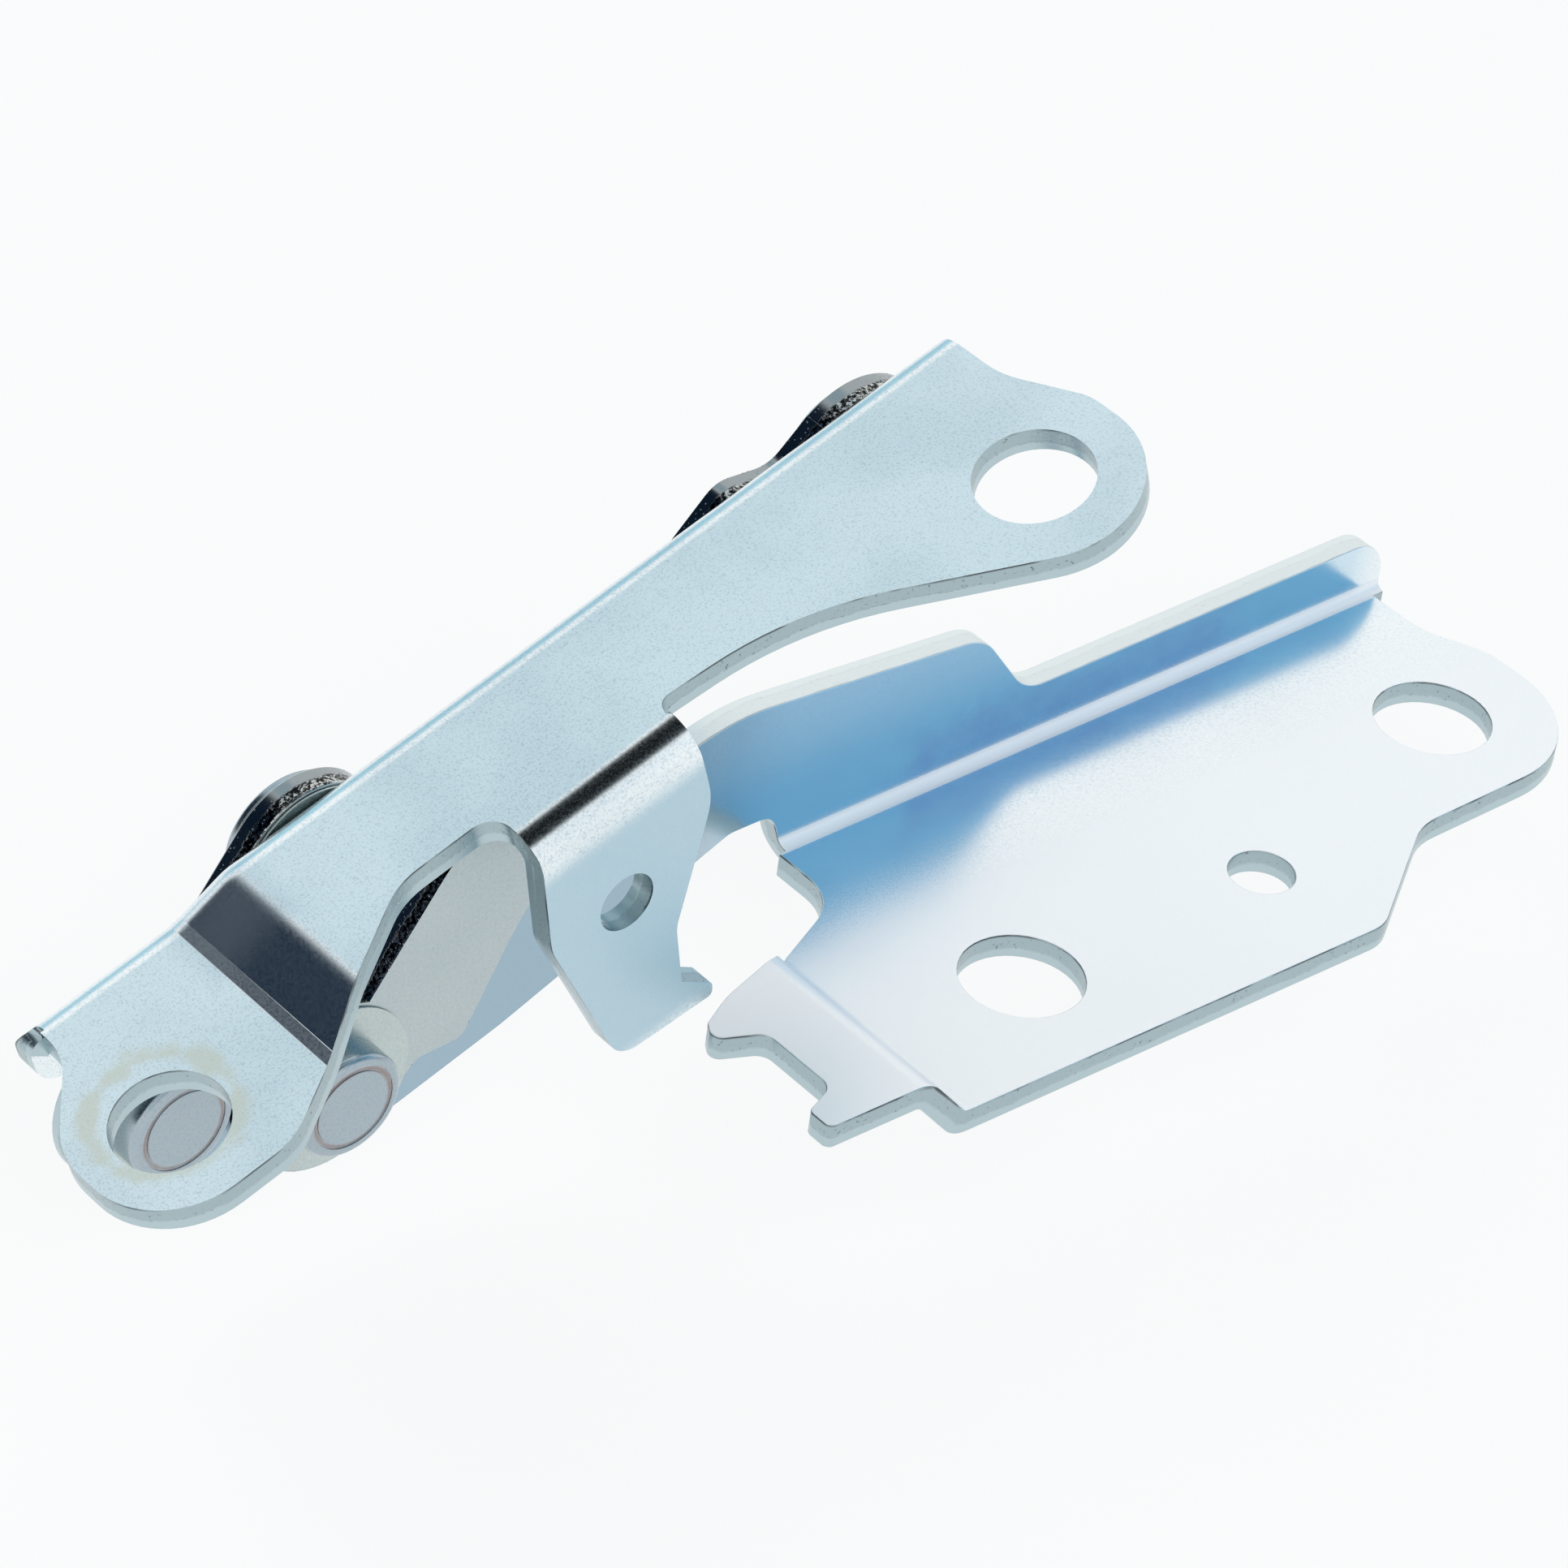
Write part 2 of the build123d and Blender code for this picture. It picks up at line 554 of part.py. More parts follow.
def main_link():
    """Long link from the arm to the rear of the upper bracket."""
    shank = outline([
        (MAIN_LOWER, 0),
        (moved(MAIN_LOWER, SHANK_START_FROM_LOWER), 0),
        (moved(MAIN_LOWER, SHANK_FRONT_FROM_LOWER), SHANK_FRONT_ROUND),
        (moved(MAIN_UPPER, BUMP_FROM_UPPER), BUMP_ROUND),
        (moved(MAIN_UPPER, DIP_FROM_UPPER), DIP_ROUND),
        (moved(MAIN_UPPER, EYE_TOP_FROM_UPPER), 0),
        (MAIN_UPPER, 0),
        (moved(MAIN_UPPER, EYE_BOTTOM_FROM_UPPER), 0),
        (moved(MAIN_UPPER, SHANK_BEND_FROM_UPPER), SHANK_BEND_ROUND),
        (moved(MAIN_LOWER, SHANK_REAR_FROM_LOWER), SHANK_REAR_ROUND),
        (moved(MAIN_LOWER, HEEL_FROM_LOWER), HEEL_ROUND),
        (moved(MAIN_LOWER, HEEL_FRONT_FROM_LOWER), HEEL_FRONT_ROUND),
        (moved(MAIN_LOWER, EYE_REAR_FROM_LOWER), 0),
    ])
    face = shank + eye(MAIN_LOWER, MAIN_LOWER_EYE_RADIUS) + eye(MAIN_UPPER, MAIN_UPPER_EYE_RADIUS)
    link = side_slab(face, LINK_NEAR_Y, LINK_FAR_Y)
    for pivot in (MAIN_LOWER, MAIN_UPPER):
        link -= at_pivot(pivot, disc(bush_seat_radius(), LINK_NEAR_Y, LINK_FAR_Y))
    return link


def short_link():
    """Short link from the arm's tip to the front of the upper bracket."""
    rise = SHORT_UPPER[1] - SHORT_LOWER[1]
    run = SHORT_UPPER[0] - SHORT_LOWER[0]
    middle = Pos(SHORT_LOWER[0] + run / 2, SHORT_LOWER[1] + rise / 2)
    face = middle * Rot(0, 0, degrees(atan2(rise, run))) * SlotCenterToCenter(hypot(run, rise), 2 * SHORT_EYE_RADIUS)
    link = side_slab(face, LINK_NEAR_Y, LINK_FAR_Y)
    link -= at_pivot(SHORT_LOWER, disc(bush_seat_radius(), LINK_NEAR_Y, LINK_FAR_Y))
    link -= at_pivot(SHORT_UPPER, disc(OPEN_SHANK_RADIUS + OPEN_PIVOT_PLAY, LINK_NEAR_Y, LINK_FAR_Y))
    return link


def bush_bore_radius():
    """Bore of a bush that turns on the rivet."""
    return BEARING_RADIUS + RUNNING_CLEARANCE


def bush_seat_radius():
    """Hole in a link that holds a bush."""
    return bush_bore_radius() + BUSH_WALL


def bush(pivot, flange_far):
    """Flanged sleeve fixed in a link's eye, its flange on the far or the near face."""
    sleeve_radius = bush_seat_radius() - SEAT_CLEARANCE
    sleeve = ring(sleeve_radius, bush_bore_radius(), LINK_NEAR_Y, LINK_FAR_Y)
    if flange_far:
        flange = ring(BUSH_FLANGE_RADIUS, bush_bore_radius(), LINK_FAR_Y, LINK_FAR_Y + SPACER_THICKNESS)
    else:
        flange = ring(BUSH_FLANGE_RADIUS, bush_bore_radius(), LINK_NEAR_Y - SPACER_THICKNESS, LINK_NEAR_Y)
    return at_pivot(pivot, sleeve + flange)


def marked_head(radius, edge_radius, start, end, mark_at_start):
    """Rivet head with a rounded rim and the ring left by the forming tool."""
    head = disc(radius, start, end)
    marked_z = start if mark_at_start else end
    head = fillet(head.edges().sort_by(Axis.Z)[0 if mark_at_start else -1], edge_radius)
    mark_radius = radius - MARK_INSET
    mark = ring(mark_radius, mark_radius - MARK_WIDTH, marked_z - MARK_DEPTH, marked_z + MARK_DEPTH)
    return head - mark


def lower_rivet(pivot):
    """Rivet fixed in the arm, with a tall head in front of the link."""
    head_end = LINK_NEAR_Y - FACE_CLEARANCE - SPACER_THICKNESS
    rivet = marked_head(LOWER_HEAD_RADIUS, HEAD_EDGE_RADIUS, head_end - LOWER_HEAD_HEIGHT, head_end, True)
    rivet += disc(BEARING_RADIUS, head_end, ARM_NEAR_Y)
    rivet += disc(NECK_RADIUS, ARM_NEAR_Y, ARM_FAR_Y)
    rivet += marked_head(UPSET_HEAD_RADIUS, HEAD_EDGE_RADIUS, ARM_FAR_Y, ARM_FAR_Y + UPSET_HEAD_HEIGHT, False)
    return at_pivot(pivot, rivet)


def lower_washer(pivot, radius):
    """Washer between a lower rivet's head and the link."""
    far = LINK_NEAR_Y - FACE_CLEARANCE
    return at_pivot(pivot, ring(radius, BEARING_RADIUS + SEAT_CLEARANCE, far - SPACER_THICKNESS, far))


def upper_rivet(pivot, bearing_radius, neck_radius, upset_radius):
    """Rivet fixed in the wing, with a flat head behind the link."""
    head_start = LINK_FAR_Y + FACE_CLEARANCE + SPACER_THICKNESS
    head_end = head_start + UPPER_HEAD_HEIGHT
    rivet = marked_head(upset_radius, HEAD_EDGE_RADIUS, WING_NEAR_Y - UPSET_HEAD_HEIGHT, WING_NEAR_Y, True)
    rivet += disc(neck_radius, WING_NEAR_Y, WING_FAR_Y)
    rivet += disc(bearing_radius, WING_FAR_Y, head_start)
    rivet += marked_head(UPPER_HEAD_RADIUS, UPPER_HEAD_EDGE_RADIUS, head_start, head_end, False)
    return at_pivot(pivot, rivet)


def upper_washer(pivot, bore_radius, near):
    """Washer beside the link on an upper rivet, on its near or its far side."""
    start = LINK_FAR_Y + FACE_CLEARANCE
    if near:
        start = WING_FAR_Y
    washer = ring(UPPER_WASHER_RADIUS, bore_radius + SEAT_CLEARANCE, start, start + SPACER_THICKNESS)
    return at_pivot(pivot, washer)


def all_nodes():
    """Every separate piece of the hinge by name."""
    return {
        "lower_bracket": lower_bracket(),
        "upper_bracket": upper_bracket(),
        "main_link": main_link(),
        "short_link": short_link(),
        "main_lower_rivet": lower_rivet(MAIN_LOWER),
        "short_lower_rivet": lower_rivet(SHORT_LOWER),
        "main_upper_rivet": upper_rivet(MAIN_UPPER, BEARING_RADIUS, NECK_RADIUS, UPSET_HEAD_RADIUS),
        "short_upper_rivet": upper_rivet(SHORT_UPPER, OPEN_SHANK_RADIUS, OPEN_SHANK_RADIUS, OPEN_UPSET_RADIUS),
        "main_lower_bush": bush(MAIN_LOWER, True),
        "short_lower_bush": bush(SHORT_LOWER, True),
        "main_upper_bush": bush(MAIN_UPPER, False),
        "main_lower_washer": lower_washer(MAIN_LOWER, LOWER_WASHER_RADIUS),
        "short_lower_washer": lower_washer(SHORT_LOWER, SHORT_WASHER_RADIUS),
        "main_upper_washer": upper_washer(MAIN_UPPER, BEARING_RADIUS, False),
        "short_upper_near_washer": upper_washer(SHORT_UPPER, OPEN_SHANK_RADIUS, True),
        "short_upper_far_washer": upper_washer(SHORT_UPPER, OPEN_SHANK_RADIUS, False),
    }


os.makedirs("parts", exist_ok=True)
for name, solid in all_nodes().items():
    export_step(solid, f"parts/{name}.step")
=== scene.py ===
"""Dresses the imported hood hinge: zinc plated pressings, links and rivets in a pale studio."""

import json
import logging
import math
from dataclasses import dataclass, replace
from enum import Enum
from typing import Any

import bmesh
import bpy
from mathutils import Matrix, Vector
from mathutils.bvhtree import BVHTree

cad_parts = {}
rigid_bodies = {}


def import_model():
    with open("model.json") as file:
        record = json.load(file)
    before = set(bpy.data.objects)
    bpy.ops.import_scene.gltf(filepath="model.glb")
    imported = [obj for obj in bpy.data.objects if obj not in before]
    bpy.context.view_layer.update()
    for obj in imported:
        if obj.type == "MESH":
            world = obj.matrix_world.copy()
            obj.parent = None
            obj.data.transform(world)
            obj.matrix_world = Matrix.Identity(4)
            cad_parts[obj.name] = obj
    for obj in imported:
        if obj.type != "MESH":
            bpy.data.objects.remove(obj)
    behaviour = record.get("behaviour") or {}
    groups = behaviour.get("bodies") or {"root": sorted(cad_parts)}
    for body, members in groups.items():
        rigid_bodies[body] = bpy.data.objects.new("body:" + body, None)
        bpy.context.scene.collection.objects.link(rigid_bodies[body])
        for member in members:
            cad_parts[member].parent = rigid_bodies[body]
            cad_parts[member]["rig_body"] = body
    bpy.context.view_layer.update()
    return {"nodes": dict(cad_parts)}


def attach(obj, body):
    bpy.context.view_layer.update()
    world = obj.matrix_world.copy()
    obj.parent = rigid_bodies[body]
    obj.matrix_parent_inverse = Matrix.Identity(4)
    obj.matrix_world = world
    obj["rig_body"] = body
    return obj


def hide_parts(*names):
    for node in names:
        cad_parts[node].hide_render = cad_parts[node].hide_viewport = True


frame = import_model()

LOG = logging.getLogger("hood_hinge")
logging.basicConfig(level=logging.INFO, format="%(name)s: %(message)s")

Triple = tuple[float, float, float]
Pair = tuple[float, float]

MM = 0.001
TILT_DEG = 19.57  # the upper bracket against the lower one
SHEET_MM = 2.8  # every pressing and link
PIVOTS_MM: dict[str, Pair] = {
    "main_lower": (-67.4, 0.0),
    "short_lower": (-88.3, 7.0),
    "main_upper": (-5.9, 51.4),
    "short_upper": (-72.3, 30.5),
}

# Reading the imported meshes
WELD_MM = 0.002  # vertices closer than this are joined
PROBE_MM = 0.02  # a ray into the metal starts this far below a face
SHEET_TOLERANCE_MM = 0.14  # a face with the sheet's thickness behind it, within this, is skin
SHARP_DEG = 38  # edges sharper than this part the skin from the blanked edge, and are eased
FLAT_DEG = 0.3  # faces within this angle are merged
EASE_SEGMENTS = 2
RIVET_EASE_MM = 0.12
WASHER_EASE_MM = 0.06
BUSH_EASE_MM = 0.04

# Noise bands and shares of the finishes
FRAY_MM = 3.5
SPECK_BAND: Pair = (0.44, 0.74)
CLOUD_BAND: Pair = (0.38, 0.68)
CLOUD_SHARE = 0.4  # clouds against specks
ROUGH_BAND: Pair = (0.3, 0.7)
LESS_ROUGH, MORE_ROUGH = 0.03, 0.06
MATT_ROUGH = 0.3  # added where a tint is fully matt
ZINC_BUMP_MM = 0.04
WAVE_MM = 5.0
WAVE_SHARE, TEAR_SHARE = 0.3, 0.22  # how far the two noises push the tear's border
TEAR_START, TEAR_FULL = 0.2, 0.32  # past the burnished share
TEAR_BUMP_MM = 0.1
RIM_BAND: Pair = (0.88, 0.97)
RIM_GAPS: Pair = (0.42, 0.6)
DEPTH = "sheet_depth"  # 0 on the burnished side of the sheet, 1 on the torn side

# Nodules
NODULE_DEPTH = 0.45  # mean depth from which a face can carry them
NODULE_LEAST: Triple = (0.5, 0.5, 0.25)
NODULE_MOST: Triple = (1.5, 1.2, 0.5)
BALL_SUBDIVISIONS = 2

# Numbers of sockets that share a name
MIX_SHARE, MIX_FIRST, MIX_SECOND, MIX_RESULT = 0, 6, 7, 2
COMPARE_INT_A, COMPARE_INT_B = 2, 3


def linear(hex_colour: str) -> tuple[float, float, float, float]:
    """Turns an sRGB hex colour into linear RGBA.

    Args:
        hex_colour: six hex digits.

    Returns:
        The four linear channels, alpha 1.
    """
    channels = []
    for start in (0, 2, 4):
        value = int(hex_colour[start : start + 2], 16) / 255
        channels.append(value / 12.92 if value <= 0.04045 else ((value + 0.055) / 1.055) ** 2.4)
    return (channels[0], channels[1], channels[2], 1.0)


def add_node(
    tree: bpy.types.NodeTree, kind: str, inputs: dict[Any, Any] | None = None, **settings: Any
) -> bpy.types.Node:
    """Adds a shader or geometry node with its settings, values and links.

    Args:
        tree: node tree that takes the node.
        kind: Blender's type name of the node.
        inputs: socket name or number to a value or to another node's output socket.
        settings: properties set on the node itself.

    Returns:
        The new node.
    """
    node = tree.nodes.new(kind)
    for name, value in settings.items():
        setattr(node, name, value)
    for key, value in (inputs or {}).items():
        socket = node.inputs[key]
        if isinstance(value, bpy.types.NodeSocket):
            tree.links.new(value, socket)
        else:
            socket.default_value = value
    return node


def blend_colours(tree: bpy.types.NodeTree, share: Any, first: Any, second: Any) -> bpy.types.NodeSocket:
    """Mixes two colours.

    Args:
        tree: node tree that takes the node.
        share: how much of the second colour, a number or a socket.
        first: colour at 0.
        second: colour at 1.

    Returns:
        The mixed colour.
    """
    sockets = {MIX_SHARE: share, MIX_FIRST: first, MIX_SECOND: second}
    return add_node(tree, "ShaderNodeMix", sockets, data_type="RGBA").outputs[MIX_RESULT]


def ramp(
    tree: bpy.types.NodeTree, value: Any, low: float, high: float, start: float = 0.0, end: float = 1.0
) -> bpy.types.NodeSocket:
    """Maps a value smoothly from one range to another.

    Args:
        tree: node tree that takes the node.
        value: what is mapped.
        low: value that gives the start.
        high: value that gives the end.
        start: result at low.
        end: result at high.

    Returns:
        The mapped value.
    """
    sockets = {"Value": value, "From Min": low, "From Max": high, "To Min": start, "To Max": end}
    return add_node(tree, "ShaderNodeMapRange", sockets, interpolation_type="SMOOTHSTEP").outputs["Result"]


def math_node(tree: bpy.types.NodeTree, operation: str, *values: Any) -> bpy.types.NodeSocket:
    """Adds one calculation.

    Args:
        tree: node tree that takes the node.
        operation: Blender's name of the calculation.
        values: numbers or sockets it works on.

    Returns:
        The result.
    """
    return add_node(tree, "ShaderNodeMath", dict(enumerate(values)), operation=operation).outputs["Value"]


def vector_node(
    tree: bpy.types.NodeTree, operation: str, *values: Any, output: str = "Vector"
) -> bpy.types.NodeSocket:
    """Adds one calculation with vectors.

    Args:
        tree: node tree that takes the node.
        operation: Blender's name of the calculation.
        values: vectors or sockets it works on.
        output: name of the socket that gives the result.

    Returns:
        The result.
    """
    node = add_node(tree, "ShaderNodeVectorMath", dict(enumerate(values)), operation=operation)
    return node.outputs[output]


def noise(
    tree: bpy.types.NodeTree, place: Any, size_mm: float, detail: float, roughness: float = 0.5
) -> bpy.types.NodeSocket:
    """Adds fractal noise.

    Args:
        tree: node tree that takes the node.
        place: Object coordinates.
        size_mm: size of its coarsest grains.
        detail: number of finer layers.
        roughness: strength of the finer layers.

    Returns:
        The noise, about 0 to 1.
    """
    sockets = {"Vector": place, "Scale": 1 / (size_mm * MM), "Detail": detail, "Roughness": roughness}
    return add_node(tree, "ShaderNodeTexNoise", sockets).outputs["Fac"]


def bumped(
    tree: bpy.types.NodeTree, height: Any, strength: float, distance_mm: float
) -> bpy.types.NodeSocket:
    """Adds a bump.

    Args:
        tree: node tree that takes the node.
        height: height of the surface, 0 to 1.
        strength: share of the bump that shows.
        distance_mm: height that 1 stands for.

    Returns:
        The bumped normal.
    """
    sockets = {"Height": height, "Strength": strength, "Distance": distance_mm * MM}
    return add_node(tree, "ShaderNodeBump", sockets).outputs["Normal"]


class Zone(Enum):
    """How a tint spreads round its centre."""

    BOX = "box"
    RING = "ring"


@dataclass(frozen=True)
class Tint:
    """A soft patch of another colour on the metal, in millimetres: some are stains in the plating, some
    painted reflection or painted highlight.

    The patch stands in the hinge's own frame, turned about Y by `tilt_deg`. A box reaches
    `size` from its centre along each axis. A ring lies round the centre, and its `size` is
    its way of lying, its radius and half its width: 0 lies across Z, 1 lies across Y.
    `soft` is the width of the border, `wobble` how far noise pushes it, and `matt` how much
    of the metal's shine a full tint takes.
    """

    zone: Zone
    centre: Triple
    size: Triple
    soft: float
    colour: str
    strength: float
    tilt_deg: float = 0.0
    wobble: float = 0.0
    matt: float = 0.0

    def mask(self, tree: bpy.types.NodeTree, place: Any) -> bpy.types.NodeSocket:
        """Builds the patch's mask.

        Args:
            tree: node tree of the material.
            place: Object coordinates.

        Returns:
            The mask, 0 outside and the strength inside.
        """
        turn = {"Vector": place, "Angle": math.radians(self.tilt_deg)}
        turned = add_node(tree, "ShaderNodeVectorRotate", turn, rotation_type="Y_AXIS").outputs["Vector"]
        offset = vector_node(tree, "SUBTRACT", turned, tuple(value * MM for value in self.centre))
        if self.zone is Zone.BOX:
            distance = self._box_distance(tree, offset)
        else:
            distance = self._ring_distance(tree, offset)
        fray = noise(tree, place, FRAY_MM, 4.0)
        frayed = math_node(tree, "MULTIPLY_ADD", fray, self.wobble * MM, distance)
        middle = self.wobble * MM * 0.5
        reach = self.soft * MM / 2
        return ramp(tree, frayed, middle + reach, middle - reach, 0.0, self.strength)

    def _box_distance(self, tree: bpy.types.NodeTree, offset: Any) -> bpy.types.NodeSocket:
        """Measures how far a point is outside the box.

        Args:
            tree: node tree of the material.
            offset: the point from the box's centre.

        Returns:
            The distance along the axis on which it is largest, below 0 inside.
        """
        size = tuple(value * MM for value in self.size)
        beyond = vector_node(tree, "SUBTRACT", vector_node(tree, "ABSOLUTE", offset), size)
        parts = add_node(tree, "ShaderNodeSeparateXYZ", {0: beyond})
        first = math_node(tree, "MAXIMUM", parts.outputs["X"], parts.outputs["Y"])
        return math_node(tree, "MAXIMUM", first, parts.outputs["Z"])

    def _ring_distance(self, tree: bpy.types.NodeTree, offset: Any) -> bpy.types.NodeSocket:
        """Measures how far a point is outside the ring's band.

        Args:
            tree: node tree of the material.
            offset: the point from the ring's centre.

        Returns:
            The distance, below 0 inside the band.
        """
        across_y, radius, half = self.size
        weights = (1.0, 0.0, 1.0) if across_y else (1.0, 1.0, 0.0)
        flat = vector_node(tree, "MULTIPLY", offset, weights)
        reach = vector_node(tree, "LENGTH", flat, output="Value")
        away = math_node(tree, "ABSOLUTE", math_node(tree, "SUBTRACT", reach, radius * MM))
        return math_node(tree, "SUBTRACT", away, half * MM)


@dataclass(frozen=True)
class ZincFinish:
    """Blue passivated electroplated zinc on steel: pale, cool and finely mottled."""

    name: str
    colour: str
    mottle_colour: str
    roughness: float
    mottle: float
    grain_mm: float = 0.34
    cloud_mm: float = 16.0
    bump: float = 0.12
    tints: tuple[Tint, ...] = ()

    def material(self) -> bpy.types.Material:
        """Builds the material.

        Returns:
            A node material that reads Object coordinates.
        """
        material, tree, place = new_material(self.name)
        grain = noise(tree, place, self.grain_mm, 4.0, 0.65)
        cloud = noise(tree, place, self.cloud_mm, 3.0)
        specks = ramp(tree, grain, *SPECK_BAND, 0.0, self.mottle)
        shade = ramp(tree, cloud, *CLOUD_BAND, 0.0, self.mottle * CLOUD_SHARE)
        darker = math_node(tree, "ADD", specks, shade)
        colour = blend_colours(tree, darker, linear(self.colour), linear(self.mottle_colour))
        metallic: Any = 1.0
        rough = ramp(tree, grain, *ROUGH_BAND, self.roughness - LESS_ROUGH, self.roughness + MORE_ROUGH)
        for tint in self.tints:
            mask = tint.mask(tree, place)
            colour = blend_colours(tree, mask, colour, linear(tint.colour))
            # A matt tint makes the metal diffuse; inside the lower bend and on the tab this is part of a
            # painted highlight and a painted reflection
            if tint.matt:
                matt_share = math_node(tree, "MULTIPLY", mask, tint.matt)
                metallic = math_node(tree, "MULTIPLY_ADD", matt_share, -1.0, metallic)
                rough = math_node(tree, "MULTIPLY_ADD", matt_share, MATT_ROUGH, rough)
        finish_material(tree, colour, metallic, rough, bumped(tree, grain, self.bump, ZINC_BUMP_MM))
        return material


def new_material(name: str) -> tuple[bpy.types.Material, bpy.types.NodeTree, bpy.types.NodeSocket]:
    """Starts an empty node material.

    Args:
        name: what the real material is.

    Returns:
        The material, its node tree and its Object coordinates.
    """
    material = bpy.data.materials.new(name)
    material.use_nodes = True
    tree = material.node_tree
    tree.nodes.clear()
    return material, tree, add_node(tree, "ShaderNodeTexCoord").outputs["Object"]


def finish_material(
    tree: bpy.types.NodeTree, colour: Any, metallic: Any, roughness: Any, normal: Any
) -> None:
    """Adds the shader and the output.

    Args:
        tree: node tree of the material.
        colour: base colour.
        metallic: share of metal.
        roughness: roughness.
        normal: bumped normal.
    """
    sockets = {"Base Color": colour, "Metallic": metallic, "Roughness": roughness, "Normal": normal}
    shader = add_node(tree, "ShaderNodeBsdfPrincipled", sockets).outputs["BSDF"]
    add_node(tree, "ShaderNodeOutputMaterial", {"Surface": shader})


@dataclass(frozen=True)
class ShearedEdge:
    """Blanked edge of plated sheet: a smooth burnished band and a torn, speckled one."""

    name: str
    burnish_colour: str
    tear_colour: str
    speck_colour: str
    specks: tuple[float, float]
    burnish_share: float
    roughness: float
    rim_colour: str
    tear_mm: float = 0.45
    tear_bump: float = 0.5
    tints: tuple[Tint, ...] = ()

    def material(self) -> bpy.types.Material:
        """Builds the material.

        Returns:
            A node material that reads the depth across the sheet and Object coordinates.
        """
        material, tree, place = new_material(self.name)
        depth = add_node(tree, "ShaderNodeAttribute", attribute_name=DEPTH).outputs["Fac"]
        tear = noise(tree, place, self.tear_mm, 4.0, 0.7)
        wave = noise(tree, place, WAVE_MM, 2.0)
        waved = math_node(tree, "MULTIPLY_ADD", wave, WAVE_SHARE, depth)
        ragged = math_node(tree, "MULTIPLY_ADD", tear, TEAR_SHARE, waved)
        torn = ramp(tree, ragged, self.burnish_share + TEAR_START, self.burnish_share + TEAR_FULL)
        specks = ramp(tree, tear, *self.specks)
        tear_colour = blend_colours(tree, specks, linear(self.tear_colour), linear(self.speck_colour))
        colour = blend_colours(tree, torn, linear(self.burnish_colour), tear_colour)
        rim = math_node(tree, "MULTIPLY", ramp(tree, depth, *RIM_BAND), ramp(tree, wave, *RIM_GAPS))
        colour = blend_colours(tree, rim, colour, linear(self.rim_colour))
        for tint in self.tints:
            colour = blend_colours(tree, tint.mask(tree, place), colour, linear(tint.colour))
        height = math_node(tree, "MULTIPLY", tear, torn)
        finish_material(tree, colour, 1.0, self.roughness, bumped(tree, height, self.tear_bump, TEAR_BUMP_MM))
        return material


